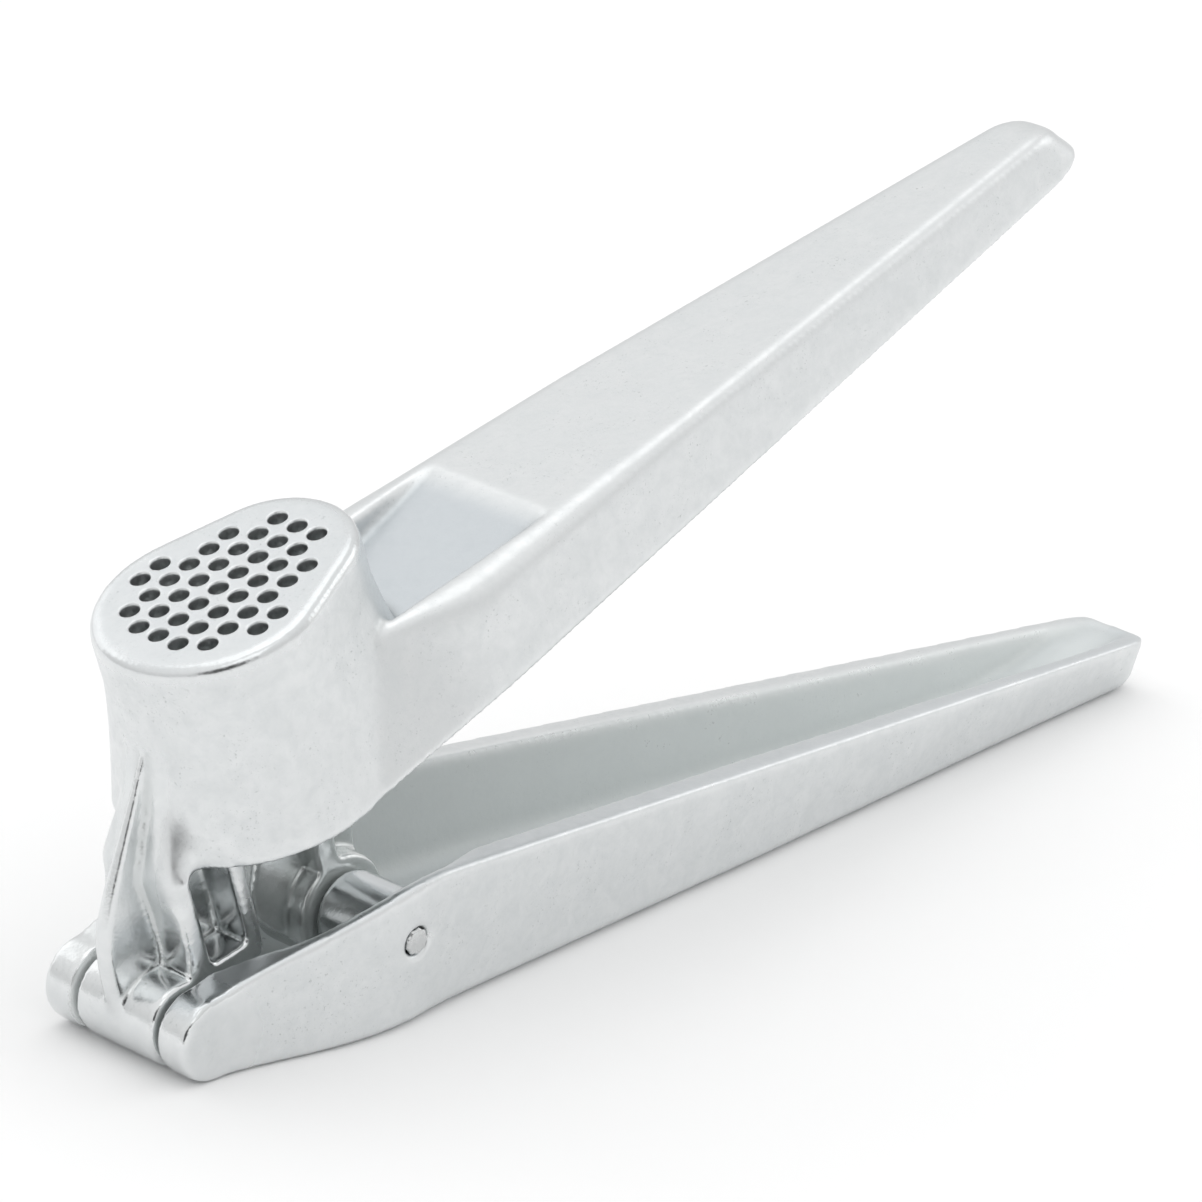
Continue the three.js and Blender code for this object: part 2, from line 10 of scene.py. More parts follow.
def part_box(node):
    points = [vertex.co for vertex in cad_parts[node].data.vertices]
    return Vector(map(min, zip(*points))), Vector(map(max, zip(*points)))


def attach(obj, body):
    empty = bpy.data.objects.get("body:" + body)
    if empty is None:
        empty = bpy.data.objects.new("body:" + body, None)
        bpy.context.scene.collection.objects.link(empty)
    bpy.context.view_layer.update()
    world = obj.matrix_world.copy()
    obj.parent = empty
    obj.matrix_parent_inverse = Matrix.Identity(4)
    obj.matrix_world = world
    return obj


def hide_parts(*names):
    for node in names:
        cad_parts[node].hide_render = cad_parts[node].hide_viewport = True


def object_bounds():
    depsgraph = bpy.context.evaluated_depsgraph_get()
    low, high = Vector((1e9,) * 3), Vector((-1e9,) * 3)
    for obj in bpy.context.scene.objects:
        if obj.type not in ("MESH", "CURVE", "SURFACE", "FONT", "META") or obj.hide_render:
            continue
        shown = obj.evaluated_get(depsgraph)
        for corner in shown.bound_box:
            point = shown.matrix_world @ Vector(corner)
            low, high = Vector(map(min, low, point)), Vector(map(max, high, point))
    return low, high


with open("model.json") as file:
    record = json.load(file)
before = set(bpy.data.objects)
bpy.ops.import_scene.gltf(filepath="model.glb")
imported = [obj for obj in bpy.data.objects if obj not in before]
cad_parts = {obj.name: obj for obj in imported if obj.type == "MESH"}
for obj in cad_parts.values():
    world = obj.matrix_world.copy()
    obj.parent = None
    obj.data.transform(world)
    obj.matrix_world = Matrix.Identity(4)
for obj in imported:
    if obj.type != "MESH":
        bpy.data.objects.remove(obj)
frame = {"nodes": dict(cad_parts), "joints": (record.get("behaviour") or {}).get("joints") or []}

MM = 0.001

# The hopper handle's own frame: its origin is the hinge, and it is turned by the opening.
JOINT_PLACES = {joint["name"]: Vector(joint["pos_m"]) for joint in frame["joints"]}
HINGE = JOINT_PLACES["hinge"]
PLUNGER_PIN = JOINT_PLACES["plunger_swing"]
OPEN_ANGLE = math.radians(20.5)
HOPPER_FRAME = Matrix.Translation(HINGE) @ Matrix.Rotation(-OPEN_ANGLE, 4, "Y")

# Grid of the cup, in the hopper handle's frame.
GRID_TOP = 41.0 * MM
GRID_THICKNESS = 2.4 * MM
HOLE_PITCH = 3.1 * MM
HOLE_RADIUS = 1.12 * MM
HOLE_CHAMFER = 0.16 * MM
HOLE_START = 16.0 * MM
HOLE_ROWS = ((0, 8, 0), (1, 8, 0), (2, 6, 0.5), (3, 2, 2))   # row, holes, first hole in pitches
HOLE_SEGMENTS = 40
HOLE_EDGE = ((0.0, -2.0), (0.3, -0.8), (1.0, 0.0))   # extra radius and height, in chamfers
PLUG_OVERLAP = 0.35 * MM       # the plugs close the CAD's holes while the casting is remeshed
PLUG_TOP_GAP = 0.02 * MM
PLUG_FOOT_GAP = 0.3 * MM

# Skin of the castings: voxels of the two remeshings and the smoothing passes after each.
FIRST_VOXEL = 0.22 * MM
CASTING_VOXEL = 0.33 * MM
PRESSER_VOXEL = 0.25 * MM
REMESH_TILT = Euler((0.47, 0.61, 0.35)).to_matrix().to_4x4()   # keeps long edges off the voxel planes
CASTING_PASSES = 9
PRESSER_PASSES = 7
LAST_PASSES = 7
SMOOTHING_STEP = 0.5           # share of the way to the neighbours' mean in one pass
WELD_DISTANCE = 1e-7

# Further smoothing of single regions.
JUNCTION_PASSES = 90           # the soft valley between the cup and the handle
SHOULDER_PASSES = 110          # the flare between the neck and the cup
RIB_PASSES = 2
RIM_PASSES = 7                 # the lower handle's rims

# Wear: passes that make the local mean, passes that soften the result, and the bulge over the local
# mean at a fully worn edge.
WEAR_SPREAD = 5
WEAR_SOFTENING = 2
SHARP_TURN = 0.085 * MM

# Regions of the hopper handle's frame: a span along x, one away from the middle plane and one along
# z. A span is the start and end of a soft step up, then of a soft step down. None is an open side.
OPEN_SPAN = (None, None, None, None)
JUNCTION = ((26, 33, 46, 56), (9.6, 11.2, None, None), (16.6, 19.5, 26.5, 30.0))
SHOULDER = ((2.0, 3.4, None, None), (1.6, 2.6, 9.5, 11.5), (12, 15, 29, 31))
RIB = ((None, None, 10, 12), (None, None, 3.0, 4.0), (2.0, 4.0, 29, 31))
# The handle's sunken panel is darkened with painted shade.
SUNKEN_PANEL_SHADE = ((42.5, 44.5, 61, 65), (None, None, 8.2, 9.4), (21, 22.5, 30, 31))
NECK_FOOT = ((None, None, 10, 14), OPEN_SPAN, (None, None, 11, 15))

# The shoulder's far limit along x, above and below the top of the neck's flange.
FLANGE_TOP = 16.5
SHOULDER_BACK = (9.5, 11)
FLANGE_FRONT = (4.2, 5.4)

# Heights where the cup's top face and its worn rim begin.
TOP_FACE = (40.0, 40.6)
CUP_RIM = (37, 39)
# Share of painted shade that darkens the cup's top face, where the top lamp reflects brightly.
TOP_FACE_SHADE = 0.25

# Front edge of the rib below the cup. Each row is a height, front face, half thickness and the neck's
# face behind it, all in the hopper handle's frame.
RIB_ROWS = (
    (-0.4, -4.30, 1.25, 2.6), (6.0, -4.35, 1.20, 3.2), (9.7, -3.90, 1.15, 3.5), (12.8, -3.00, 1.10, 3.6),
    (16.2, -0.80, 0.95, 3.6), (18.5, 1.00, 0.85, 4.8), (21.5, 3.40, 0.70, 6.5), (25.0, 6.20, 0.55, 8.2),
    (28.9, 9.10, 0.40, 9.6), (30.2, 10.20, 0.35, 10.2),
)
RIB_SAMPLES = 400
RIB_WINDOW = 61                # samples under the window that rounds the rows' corners
RIB_FILLET = 1.7               # left to the fillet between the rib and the neck
RIB_SPAN = (4.4, 6.0, 28.2, 29.8)
RIB_SIDE_REACH = 0.9           # how far off the rib's faces its points are still moved
RIB_FRONT_REACH = 1.5
RIB_FADE = 1.0
RIB_POLISH = 0.8

# The lower handle: its rim line, the depth of the rim under it, and what counts as facing up, as
# facing inward and as the channel's floor.
RIM_X = (0, 27, 167.2)
RIM_Z = (10.0, 18.4, 7.3)
RIM_DEPTH = (1.6, 0.8)
RIM_START = (8, 14)
FACING_UP = (0.5, 0.8)
FACING_INWARD = (0.35, 0.75)
CHANNEL_FLOOR_TOP = (6, 8)
# Shares of painted shade on the channel's floor and on the near rim's upward faces.
CHANNEL_FLOOR_SHADE = 1.1
NEAR_RIM_SHADE = 0.55

# Radii polished by rubbing round the pins, and the pin boss's half width.
HOPPER_HINGE_POLISH = 7.0
LOWER_HINGE_POLISH = 5.0
BOSS_POLISH = 5.2
POLISH_FADE = 2.0
BOSS_HALF_WIDTH = 13.6 * MM
PRESSER_HAZE = 0.35
PRESSER_POLISH = 0.6

# Pins.
PIN_GROWTH = 0.14 * MM         # the shown pins fill half of their running clearance
PIN_EDGE = 0.22 * MM
PIN_BEVEL = 0.08 * MM
STAKE_NOTCHES = 9
STAKE_FLARE = 0.07 * MM
POINTS_PER_NOTCH = 8

# What the metals share: the names of the stored surface shares and the tints they bring.
SURFACE_SHARES = ("wear", "hollow", "painted_shade", "inside", "polish")
# Tint of the painted shade on the sunken panel, the cup's top face, the channel's floor and the near
# rim.
PAINTED_SHADE_TINT = (0.53, 0.565, 0.59)
# Paler tint: painted light on the channel's inner faces and floor, and an even haze on the plunger.
HAZE_AND_PAINTED_LIGHT_TINT = (0.77, 0.81, 0.80)
WORN_TINT = (0.80, 0.81, 0.81)

# Floor and surroundings. The world's greys run from the horizon (0) to straight overhead (1).
FLOOR_SIZE = 6.0
FLOOR_GREYS = ((0.980, 0.980, 0.980), (0.988, 0.988, 0.988))
FLOOR_ROUGHNESS = 0.9
WORLD_GREYS = ((0.0, 0.88), (0.12, 0.74), (0.32, 0.80), (0.60, 0.92), (1.0, 1.0))
WORLD_STRENGTH = 1.035

# A dim gap between the soft boxes, low and in front, gives rounded edges their dark streaks. Its edge
# and core are cosines of the angle from its middle.
DIM_GAP_DIRECTION = Vector((-0.66, -0.70, 0.27)).normalized()
DIM_GAP_EDGE = 0.90
DIM_GAP_CORE = 0.965
DIM_GAP_LIGHT = 0.10           # share of the light that is left at the core

# Soft boxes: name, place from the middle of the press, side length and watts.
SOFT_BOXES = (
    ("key", (-0.55, -0.75, 0.80), 0.70, 0.6),
    ("top", (0.05, 0.10, 1.05), 0.95, 1.2),
    ("side", (0.80, -0.35, 0.35), 0.45, 0.4),
    ("back", (-0.10, 0.95, 0.45), 0.80, 0.8),
)

# Camera: its place from the hinge, and the azimuth, elevation and roll of its view.
CAMERA_FROM_HINGE = Vector((-0.44309, -0.47457, 0.30617))
CAMERA_AZIMUTH = math.radians(-47.258)
CAMERA_ELEVATION = math.radians(21.542)
CAMERA_ROLL = math.radians(2.813)
CAMERA_LENS = 194.68
SENSOR_WIDTH = 36.0
CAMERA_CLIP = (0.01, 50)

cad_low, cad_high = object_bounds()


def new_object(name, mesh):
    obj = bpy.data.objects.new(name, mesh)
    bpy.context.scene.collection.objects.link(obj)
    return obj


def built(name, work):
    """A new object from a bmesh, which is freed."""
    mesh = bpy.data.meshes.new(name)
    work.to_mesh(mesh)
    work.free()
    return new_object(name, mesh)


def baked(obj):
    """The object's mesh with its modifiers applied, in place of the old one."""
    bpy.context.view_layer.update()
    depsgraph = bpy.context.evaluated_depsgraph_get()
    mesh = bpy.data.meshes.new_from_object(obj.evaluated_get(depsgraph))
    obj.modifiers.clear()
    obj.data = mesh
    return obj


def welded_copy(node, name):
    """A copy of a CAD node whose split vertices are joined again."""
    mesh = frame["nodes"][node].data.copy()
    mesh.materials.clear()
    work = bmesh.new()
    work.from_mesh(mesh)
    bmesh.ops.remove_doubles(work, verts=work.verts, dist=WELD_DISTANCE)
    work.to_mesh(mesh)
    work.free()
    return new_object(name, mesh)


def hole_centres():
    """The holes' x and y, row by row on both sides of the middle one."""
    for row, count, first in HOLE_ROWS:
        for side in ((0,) if row == 0 else (-1, 1)):
            for i in range(count):
                yield HOLE_START + (first + i) * HOLE_PITCH, side * row * HOLE_PITCH


def turned(work, profile, matrix, segments):
    """A closed body of revolution about the local Z axis, from (radius, height) points."""
    rings = []
    for radius, height in profile:
        ring = []
        for i in range(segments):
            angle = 2 * math.pi * i / segments
            point = Vector((radius * math.cos(angle), radius * math.sin(angle), height))
            ring.append(work.verts.new(matrix @ point))
        rings.append(ring)
    for low, high in zip(rings, rings[1:]):
        for i in range(segments):
            j = (i + 1) % segments
            work.faces.new((low[i], low[j], high[j], high[i]))
    work.faces.new(list(reversed(rings[0])))
    work.faces.new(rings[-1])


def hole_bodies(name, profile):
    """One turned body at each hole of the grid."""
    work = bmesh.new()
    for x, y in hole_centres():
        turned(work, profile, HOPPER_FRAME @ Matrix.Translation((x, y, GRID_TOP)), HOLE_SEGMENTS)
    return built(name, work)


def joined(obj, other):
    """obj with other's faces added to its mesh."""
    work = bmesh.new()
    work.from_mesh(obj.data)
    work.from_mesh(other.data)
    work.to_mesh(obj.data)
    work.free()
    bpy.data.objects.remove(other)
    return obj


def remeshed(obj, voxel):
    obj.data.transform(REMESH_TILT)
    modifier = obj.modifiers.new("skin", "REMESH")
    modifier.mode = "VOXEL"
    modifier.voxel_size = voxel
    baked(obj)
    obj.data.transform(REMESH_TILT.inverted())
    return obj


def arrays(mesh):
    """The mesh's vertices and edges."""
    points = np.empty(len(mesh.vertices) * 3)
    mesh.vertices.foreach_get("co", points)
    edges = np.empty(len(mesh.edges) * 2, np.int64)
    mesh.edges.foreach_get("vertices", edges)
    return points.reshape(-1, 3), edges.reshape(-1, 2)


def vertex_normals(mesh):
    normals = np.empty(len(mesh.vertices) * 3)
    mesh.vertex_normals.foreach_get("vector", normals)
    return normals.reshape(-1, 3)


def edge_counts(edges, count):
    """How many edges meet at each vertex, and 1 where there are none."""
    return np.maximum(np.bincount(edges.ravel(), minlength=count), 1).astype(float)


def neighbour_mean(values, edges, degree):
    total = np.zeros_like(values)
    for axis in range(values.shape[1]):
        total[:, axis] += np.bincount(edges[:, 0], values[edges[:, 1], axis], len(values))
        total[:, axis] += np.bincount(edges[:, 1], values[edges[:, 0], axis], len(values))
    return total / degree[:, None]


def smoothed(obj, passes, strength=None):
    """Rounds edges and corners. strength, from 0 to 1 at each vertex, limits it to a region."""
    mesh = obj.data
    points, edges = arrays(mesh)
    share = np.ones(len(points)) if strength is None else strength(points)
    near = edges[(share > 0)[edges].any(1)]
    used, near = np.unique(near, return_inverse=True)
    near = near.reshape(-1, 2)
    local = points[used]
    degree = edge_counts(near, len(local))
    step = SMOOTHING_STEP * share[used][:, None]
    for _ in range(passes):
        local += step * (neighbour_mean(local, near, degree) - local)
    points[used] = local
    mesh.vertices.foreach_set("co", points.ravel())
    mesh.update()
    return obj


def casting_skin(obj, voxel, passes):
    """The solid with its edges and corners rounded, as one even mesh."""
    remeshed(obj, FIRST_VOXEL)
    smoothed(obj, passes)
    remeshed(obj, voxel)
    return smoothed(obj, LAST_PASSES)


def store(mesh, label, values):
    """Stores one value for all vertices, or one for each."""
    filled = np.empty(len(mesh.vertices), np.float32)
    filled[:] = values
    attribute = mesh.attributes.new(label, "FLOAT", "POINT")
    attribute.data.foreach_set("value", filled)


def mark_wear(obj):
    """Stores how sharply the surface turns outward (wear) and inward (hollow) at each vertex."""
    mesh = obj.data
    points, edges = arrays(mesh)
    degree = edge_counts(edges, len(points))
    mean = points.copy()
    for _ in range(WEAR_SPREAD):
        mean = neighbour_mean(mean, edges, degree)
    bulge = ((points - mean) * vertex_normals(mesh)).sum(1)[:, None]
    for _ in range(WEAR_SOFTENING):
        bulge = neighbour_mean(bulge, edges, degree)
    wear = np.clip(bulge[:, 0] / SHARP_TURN, 0, 1)
    store(mesh, "wear", wear)
    store(mesh, "hollow", np.clip(-bulge[:, 0] / SHARP_TURN, 0, 1))
    return wear


def finished(obj, node, body, material):
    """The object with its material, standing in for a CAD node and moving with its body."""
    obj.data.materials.clear()
    obj.data.materials.append(material)
    obj.data.polygons.foreach_set("use_smooth", np.ones(len(obj.data.polygons), bool))
    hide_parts(node)
    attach(obj, body)
    return obj


class Nodes:
    """Short calls for one material's node tree."""

    def __init__(self, name):
        self.material = bpy.data.materials.new(name)
        self.material.use_nodes = True
        self.tree = self.material.node_tree
        self.shader = self.tree.nodes["Principled BSDF"]
        coordinates = self.tree.nodes.new("ShaderNodeTexCoord")
        self.place = coordinates.outputs["Object"]

    def link(self, source, target):
        self.tree.links.new(source, target)

    def noise(self, scale, detail=4.0, roughness=0.55, distortion=0.0):
        node = self.tree.nodes.new("ShaderNodeTexNoise")
        node.inputs["Scale"].default_value = scale
        node.inputs["Detail"].default_value = detail
        node.inputs["Roughness"].default_value = roughness
        node.inputs["Distortion"].default_value = distortion
        self.link(self.place, node.inputs["Vector"])
        return node.outputs["Fac"]

    def attribute(self, name):
        node = self.tree.nodes.new("ShaderNodeAttribute")
        node.attribute_name = name
        return node.outputs["Fac"]

    def spread(self, source, low, high, to_low=0.0, to_high=1.0):
        node = self.tree.nodes.new("ShaderNodeMapRange")
        values = {"From Min": low, "From Max": high, "To Min": to_low, "To Max": to_high}
        for label, value in values.items():
            node.inputs[label].default_value = value
        self.link(source, node.inputs["Value"])
        return node.outputs["Result"]

    def math(self, operation, first, second):
        node = self.tree.nodes.new("ShaderNodeMath")
        node.operation = operation
        for socket, value in zip(node.inputs, (first, second)):
            if isinstance(value, (int, float)):
                socket.default_value = value
            else:
                self.link(value, socket)
        return node.outputs["Value"]

    def lessened(self, value, amount, share):
        """value, lowered by a share of the amount."""
        kept = self.math("SUBTRACT", 1.0, self.math("MULTIPLY", amount, share))
        return self.math("MULTIPLY", value, kept)

    def mix(self, share, first, second):
        node = self.tree.nodes.new("ShaderNodeMix")
        node.data_type = "RGBA"
        self.link(share, node.inputs["Factor"])
        for label, value in (("A", first), ("B", second)):
            socket = [s for s in node.inputs if s.name == label and s.type == "RGBA"][0]
            if isinstance(value, tuple):
                socket.default_value = (*value, 1.0)
            else:
                self.link(value, socket)
        return [s for s in node.outputs if s.type == "RGBA"][0]

    def tinted(self, colour, amount, share, tint):
        """colour, moved towards the tint by a share of the amount."""
        return self.mix(self.math("MULTIPLY", amount, share), colour, tint)

    def bump(self, height, strength, distance, after=None):
        node = self.tree.nodes.new("ShaderNodeBump")
        node.inputs["Strength"].default_value = strength
        node.inputs["Distance"].default_value = distance
        self.link(height, node.inputs["Height"])
        if after is not None:
            self.link(after, node.inputs["Normal"])
        return node.outputs["Normal"]


def aluminium(name, light, shade, dark, rough, grain=1.0):
    """Tumbled cast aluminium: mottled grey with specks, darker hollows and bright, smooth edges; the
    stored shares also paint shade and light.
    """
    n = Nodes(name)
    wear, hollow, painted_shade, inside, polish = (n.attribute(label) for label in SURFACE_SHARES)
    cloud = n.spread(n.noise(210, 8, 0.72, 0.5), 0.36, 0.66)
    blotch = n.spread(n.noise(620, 6, 0.66, 0.5), 0.42, 0.66)
    speck = n.spread(n.noise(2600, 3, 0.65), 0.60, 0.72)
    patch = n.spread(n.noise(190, 3), 0.46, 0.62)

    colour = n.tinted(light, cloud, 0.55, shade)
    colour = n.tinted(colour, blotch, 0.45, shade)
    specks = n.lessened(n.math("MULTIPLY", speck, patch), wear, 1.0)
    colour = n.tinted(colour, specks, 0.5, dark)
    # Painted shade: the sunken panel, the cup's top face, the channel's floor and the near rim are
    # darkened.
    colour = n.tinted(colour, painted_shade, 0.85, PAINTED_SHADE_TINT)
    # Painted light: the channel's inner faces and floor are made paler. The plunger gets an even haze.
    colour = n.tinted(colour, inside, 0.6, HAZE_AND_PAINTED_LIGHT_TINT)
    # Darker in the hollows.
    colour = n.tinted(colour, hollow, 0.30, dark)
    colour = n.tinted(colour, wear, 0.20, WORN_TINT)
    n.link(colour, n.shader.inputs["Base Color"])

    # The oxide haze inside the channel scatters light instead of mirroring the opposite wall.
    n.link(n.math("SUBTRACT", 1.0, n.math("MULTIPLY", inside, 0.85)), n.shader.inputs["Metallic"])

    grey = n.math("ADD", n.math("MULTIPLY", cloud, 0.5), n.math("MULTIPLY", blotch, 0.5))
    roughness = n.spread(grey, 0.0, 1.0, *rough)
    for amount, share in ((wear, 0.15), (inside, 0.10), (polish, 0.60)):
        roughness = n.lessened(roughness, amount, share)
    n.link(roughness, n.shader.inputs["Roughness"])

    waves = n.bump(n.noise(150, 3, 0.5), 0.20 * grain, 0.40 * MM)
    pits = n.bump(n.noise(1000, 6, 0.66), 0.34 * grain, 0.10 * MM, waves)
    fine = n.bump(n.noise(4800, 3, 0.6), 0.26 * grain, 0.035 * MM, pits)
    n.link(fine, n.shader.inputs["Normal"])
    return n.material


def ease(start, end, value):
    """0 at the start, 1 at the end and beyond, with a smooth step between them."""
    share = np.clip((value - start) / (end - start), 0, 1)
    return share * share * (3 - 2 * share)


def span(values, rise, full, fall, end):
    """1 between full and fall, 0 outside rise and end. None leaves a side open."""
    share = np.ones(len(values)) if rise is None else ease(rise, full, values)
    return share if fall is None else share * (1 - ease(fall, end, values))


def in_hopper_frame(points):
    """The points' x, y and z in millimetres of the hopper handle's frame."""
    inverse = np.array(HOPPER_FRAME.inverted())
    return (points @ inverse[:3, :3].T + inverse[:3, 3]).T / MM


def region(points, spans):
    """1 inside a region of the hopper handle, 0 outside."""
    x, y, z = in_hopper_frame(points)
    return span(x, *spans[0]) * span(np.abs(y), *spans[1]) * span(z, *spans[2])


def junction(points):
    """1 on the outer sides where the cup runs into the handle, 0 elsewhere."""
    return region(points, JUNCTION)


def shoulder(points):
    """1 beside the rib where the neck spreads into the cup, 0 elsewhere."""
    x, _, z = in_hopper_frame(points)
    back = np.where(z > FLANGE_TOP, ease(*SHOULDER_BACK, x), ease(*FLANGE_FRONT, x))
    return region(points, SHOULDER) * (1 - back)


def on_rib(points):
    """1 on the rib and its fillets, 0 elsewhere."""
    return region(points, RIB)


def rib_profile(heights):
    """Front face, half thickness and free depth of the rib at each height, without corners."""
    grid = np.linspace(RIB_ROWS[0][0], RIB_ROWS[-1][0], RIB_SAMPLES)
    rows = np.array(RIB_ROWS)
    window = np.hanning(RIB_WINDOW)
    window /= window.sum()
    result = []
    for column in (1, 2, 3):
        values = np.interp(grid, rows[:, 0], rows[:, column])
        padded = np.pad(values, RIB_WINDOW // 2, mode="reflect", reflect_type="odd")
        result.append(np.interp(heights, grid, np.convolve(padded, window, "valid")))
    front, half, neck = result
    return front, half, np.maximum(neck - front - RIB_FILLET, 0)


def sharpened_rib(obj):
    """Gives the free part of the rib its flat sides and round nose back."""
    points = arrays(obj.data)[0]
    x, y, z = in_hopper_frame(points)
    front, half, free = rib_profile(z)
    behind = x - (front + half)
    share = span(z, *RIB_SPAN) * (np.abs(y) < half + RIB_SIDE_REACH) * (x > front - RIB_FRONT_REACH)
    share = share * (1 - ease(free, free + RIB_FADE, x - front))
    radial = np.maximum(np.hypot(behind, y), 1e-6)
    nose_x = front + half + behind / radial * half
    nose_y = y / radial * half
    ahead = behind < 0
    new_x = np.where(ahead, nose_x, x)
    new_y = np.where(ahead, nose_y, np.sign(y) * half)
    x = x + share * (new_x - x)
    y = y + share * (new_y - y)
    place = np.array(HOPPER_FRAME)
    moved = np.stack((x, y, z)).T * MM @ place[:3, :3].T + place[:3, 3]
    obj.data.vertices.foreach_set("co", moved.ravel())
    obj.data.update()


def channel(points, normals):
    """Two shares for the lower handle: inside its channel, where a paler tint paints light, and painted
    shade on its floor and its near rim.
    """
    y = points[:, 1]
    upward = ease(*FACING_UP, normals[:, 2])
    inward = ease(*FACING_INWARD, -np.sign(y) * normals[:, 1])
    low = 1 - ease(*CHANNEL_FLOOR_TOP, points[:, 2] / MM)
    floor = upward * low
    # Painted shade on the channel's floor and on the near rim's top.
    floor_and_rim_shade = CHANNEL_FLOOR_SHADE * floor + NEAR_RIM_SHADE * upward * (1 - low) * (y < 0)
    return np.clip(inward + floor, 0, 1), floor_and_rim_shade


def rims(points):
    """1 along the rims of the lower handle, 0 elsewhere."""
    x = (points[:, 0] - HINGE.x) / MM
    rim = np.interp(x, RIM_X, RIM_Z)
    return ease(*RIM_DEPTH, rim - points[:, 2] / MM) * ease(*RIM_START, x)


def polished_near(points, centre, radius):
    """1 within the radius of a pin's axis, 0 well outside it."""
    distance = np.hypot(points[:, 0] - centre.x, points[:, 2] - centre.z) / MM
    return 1 - ease(radius, radius + POLISH_FADE, distance)


def hopper_casting(material):
    """The cup with its grid, neck, rib and handle."""
    obj = welded_copy("hopper_handle", "hopper_casting")
    radius = HOLE_RADIUS + PLUG_OVERLAP
    plugs = hole_bodies("plugs", ((radius, PLUG_FOOT_GAP - GRID_THICKNESS), (radius, -PLUG_TOP_GAP)))
    obj = casting_skin(joined(obj, plugs), CASTING_VOXEL, CASTING_PASSES)
    smoothed(obj, JUNCTION_PASSES, junction)
    smoothed(obj, SHOULDER_PASSES, shoulder)
    sharpened_rib(obj)
    smoothed(obj, RIB_PASSES, on_rib)
    sharpened_rib(obj)

    wear = mark_wear(obj)
    points = arrays(obj.data)[0]
    z = in_hopper_frame(points)[2]
    # Painted shade on the cup's top face, stored together with the sunken panel's painted shade.
    top = TOP_FACE_SHADE * ease(*TOP_FACE, z)
    store(obj.data, "painted_shade", np.maximum(region(points, SUNKEN_PANEL_SHADE), top))
    store(obj.data, "inside", 0)
    store(obj.data, "polish", np.maximum.reduce((
        polished_near(points, HINGE, HOPPER_HINGE_POLISH), region(points, NECK_FOOT),
        RIB_POLISH * on_rib(points), wear * ease(*CUP_RIM, z))))

    edge = [(HOLE_RADIUS + out * HOLE_CHAMFER, up * HOLE_CHAMFER) for out, up in HOLE_EDGE]
    profile = [(HOLE_RADIUS, -2 * GRID_THICKNESS), *edge, (edge[-1][0], GRID_THICKNESS)]
    cutters = hole_bodies("hole_cutters", profile)
    cut = obj.modifiers.new("holes", "BOOLEAN")
    cut.operation = "DIFFERENCE"
    cut.object = cutters
    cut.solver = "MANIFOLD"
    baked(obj)
    bpy.data.objects.remove(cutters)
    return finished(obj, "hopper_handle", "hopper_handle", material)


def plunger_casting(material):
    """The lower handle with its channel and pin bosses."""
    obj = welded_copy("plunger_handle", "plunger_handle_casting")
    casting_skin(obj, CASTING_VOXEL, CASTING_PASSES)
    smoothed(obj, RIM_PASSES, rims)
    mark_wear(obj)
    points = arrays(obj.data)[0]
    inside, floor_and_rim_shade = channel(points, vertex_normals(obj.data))
    store(obj.data, "painted_shade", floor_and_rim_shade)
    store(obj.data, "inside", inside)
    boss = polished_near(points, PLUNGER_PIN, BOSS_POLISH) * (np.abs(points[:, 1]) < BOSS_HALF_WIDTH)
    store(obj.data, "polish", np.maximum(polished_near(points, HINGE, LOWER_HINGE_POLISH), boss))
    return finished(obj, "plunger_handle", "plunger_handle", material)


def presser(material):
    """The plunger's foot and stem."""
    obj = casting_skin(welded_copy("plunger", "plunger_foot_and_stem"), PRESSER_VOXEL, PRESSER_PASSES)
    mark_wear(obj)
    store(obj.data, "painted_shade", 0)
    store(obj.data, "inside", PRESSER_HAZE)
    store(obj.data, "polish", PRESSER_POLISH)
    return finished(obj, "plunger", "plunger", material)


def pin(node, name, near_end_staked, material):
    """A rod with broken edges. A staked end is flared in small notches round its rim."""
    low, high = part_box(node)
    centre = (low + high) / 2
    radius = (high.x - low.x) / 2 + PIN_GROWTH
    worn = radius - PIN_EDGE
    length = high.y - low.y
    profile = ((worn, 0.0), (radius, PIN_EDGE), (radius, length - PIN_EDGE), (worn, length))
    along = Matrix.Translation((centre.x, low.y, centre.z)) @ Matrix.Rotation(-math.pi / 2, 4, "X")
    work = bmesh.new()
    turned(work, profile, along, STAKE_NOTCHES * POINTS_PER_NOTCH)
    if near_end_staked:
        for vertex in work.verts:
            if vertex.co.y - low.y < 2 * PIN_EDGE:
                offset = Vector((vertex.co.x - centre.x, 0, vertex.co.z - centre.z))
                wave = math.cos(STAKE_NOTCHES * math.atan2(offset.z, offset.x))
                vertex.co += offset.normalized() * wave * STAKE_FLARE
    obj = built(name, work)
    bevel = obj.modifiers.new("soft_edges", "BEVEL")
    bevel.width = PIN_BEVEL
    bevel.segments = 2
    baked(obj)
    for label in SURFACE_SHARES:
        store(obj.data, label, 0)
    return finished(obj, node, "plunger_handle", material)


def paper_floor():
    work = bmesh.new()
    bmesh.ops.create_grid(work, x_segments=1, y_segments=1, size=FLOOR_SIZE)
    plane = built("floor", work)
    plane.location.z = cad_low.z
    n = Nodes("floor_paper")
    n.shader.inputs["Roughness"].default_value = FLOOR_ROUGHNESS
    n.link(n.mix(n.noise(30, 2), *FLOOR_GREYS), n.shader.inputs["Base Color"])
    plane.data.materials.append(n.material)


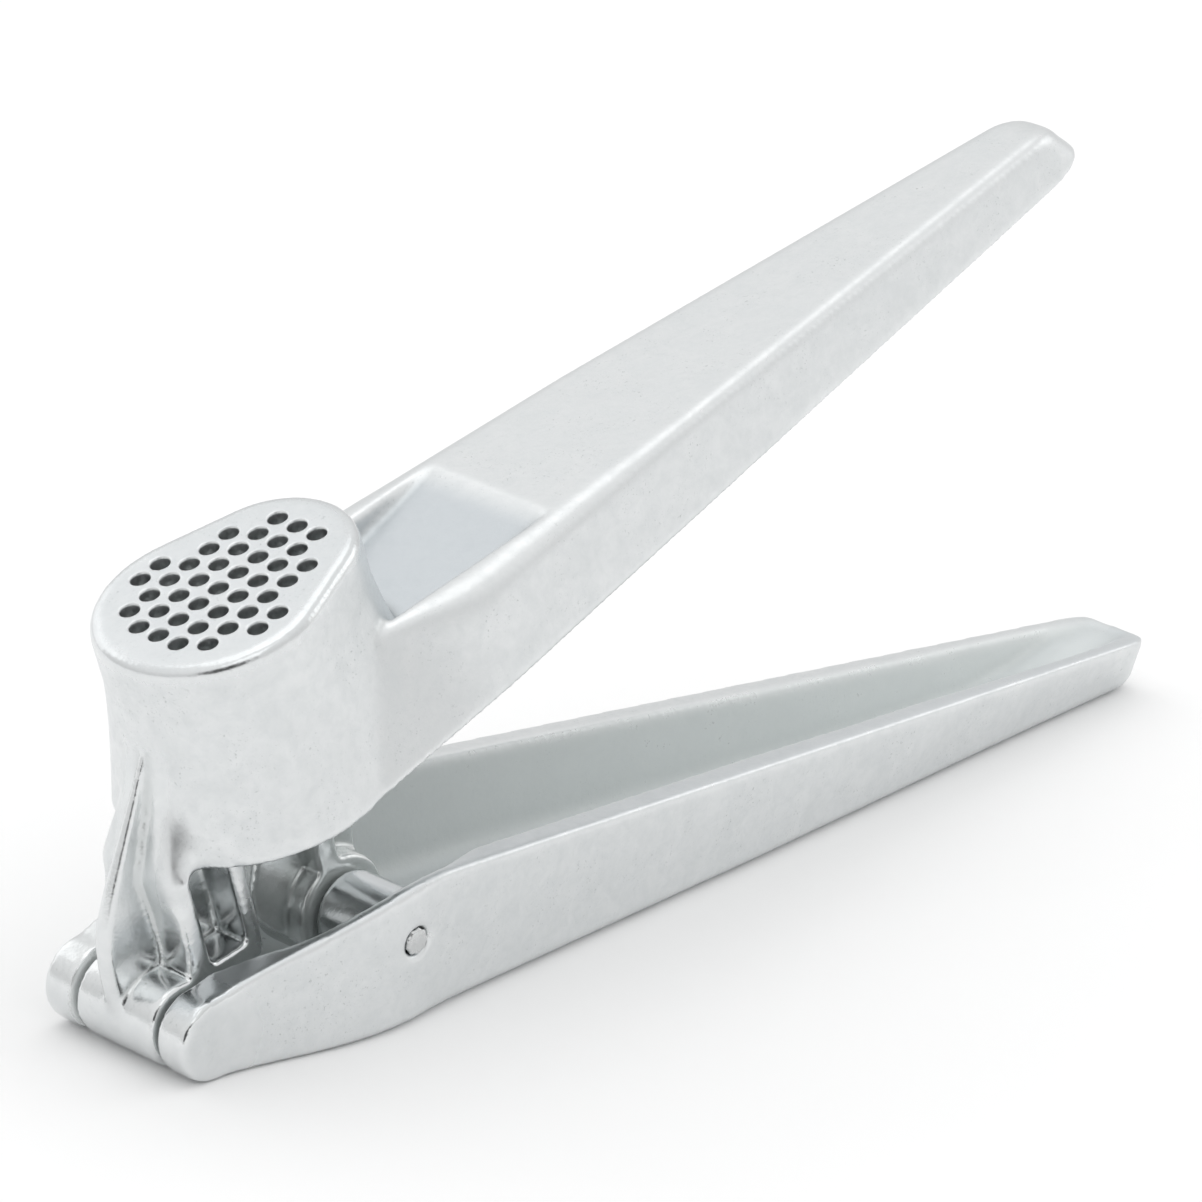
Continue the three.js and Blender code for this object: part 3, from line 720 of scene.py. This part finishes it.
def surroundings():
    """A bright room that darkens towards the horizon, with the dim gap."""
    world = bpy.data.worlds.new("studio")
    bpy.context.scene.world = world
    world.use_nodes = True
    tree = world.node_tree
    place = tree.nodes.new("ShaderNodeTexCoord")
    split = tree.nodes.new("ShaderNodeSeparateXYZ")
    ramp = tree.nodes.new("ShaderNodeValToRGB")
    toward = tree.nodes.new("ShaderNodeVectorMath")
    dimming = tree.nodes.new("ShaderNodeMapRange")
    shaded = tree.nodes.new("ShaderNodeVectorMath")
    background = tree.nodes["Background"]

    elements = ramp.color_ramp.elements
    for index, (position, grey) in enumerate(WORLD_GREYS):
        if index >= len(elements):
            elements.new(position)
        elements[index].position = position
        elements[index].color = (grey, grey, grey, 1.0)
    toward.operation = "DOT_PRODUCT"
    toward.inputs[1].default_value = DIM_GAP_DIRECTION
    limits = {"From Min": DIM_GAP_EDGE, "From Max": DIM_GAP_CORE, "To Min": 1.0, "To Max": DIM_GAP_LIGHT}
    for label, value in limits.items():
        dimming.inputs[label].default_value = value
    shaded.operation = "SCALE"
    background.inputs["Strength"].default_value = WORLD_STRENGTH

    for source, target in (
        (place.outputs["Generated"], split.inputs["Vector"]),
        (split.outputs["Z"], ramp.inputs["Fac"]),
        (place.outputs["Generated"], toward.inputs[0]),
        (toward.outputs["Value"], dimming.inputs["Value"]),
        (ramp.outputs["Color"], shaded.inputs[0]),
        (dimming.outputs["Result"], shaded.inputs["Scale"]),
        (shaded.outputs["Vector"], background.inputs["Color"]),
    ):
        tree.links.new(source, target)


def soft_boxes():
    target = (cad_low + cad_high) / 2
    for name, offset, size, watts in SOFT_BOXES:
        data = bpy.data.lights.new(name, "AREA")
        data.shape = "SQUARE"
        data.size = size
        data.energy = watts
        lamp = new_object(name, data)
        lamp.location = target + Vector(offset)
        lamp.rotation_euler = (target - lamp.location).to_track_quat("-Z", "Y").to_euler()


def camera():
    data = bpy.data.cameras.new("camera")
    data.sensor_width = SENSOR_WIDTH
    data.lens = CAMERA_LENS
    data.clip_start, data.clip_end = CAMERA_CLIP
    obj = new_object("camera", data)
    turn = (Matrix.Rotation(CAMERA_AZIMUTH, 4, "Z")
            @ Matrix.Rotation(math.pi / 2 - CAMERA_ELEVATION, 4, "X")
            @ Matrix.Rotation(CAMERA_ROLL, 4, "Z"))
    obj.matrix_world = Matrix.Translation(HINGE + CAMERA_FROM_HINGE) @ turn
    bpy.context.scene.camera = obj


cast = aluminium(
    "cast_aluminium", light=(0.757, 0.773, 0.777), shade=(0.668, 0.691, 0.697),
    dark=(0.26, 0.29, 0.28), rough=(0.30, 0.46))
presser_metal = aluminium(
    "plunger_aluminium", light=(0.80, 0.82, 0.82), shade=(0.64, 0.67, 0.66),
    dark=(0.20, 0.22, 0.21), rough=(0.24, 0.40))
pin_metal = aluminium(
    "pin_metal", light=(0.66, 0.67, 0.67), shade=(0.52, 0.53, 0.53),
    dark=(0.16, 0.17, 0.16), rough=(0.22, 0.38), grain=0.6)

hopper_casting(cast)
plunger_casting(cast)
presser(presser_metal)
pin("hinge_pin", "hinge_pin_rod", False, pin_metal)
pin("plunger_pin", "plunger_pin_rod", True, pin_metal)
paper_floor()
surroundings()
soft_boxes()
camera()
bpy.context.scene.view_settings.view_transform = "Standard"
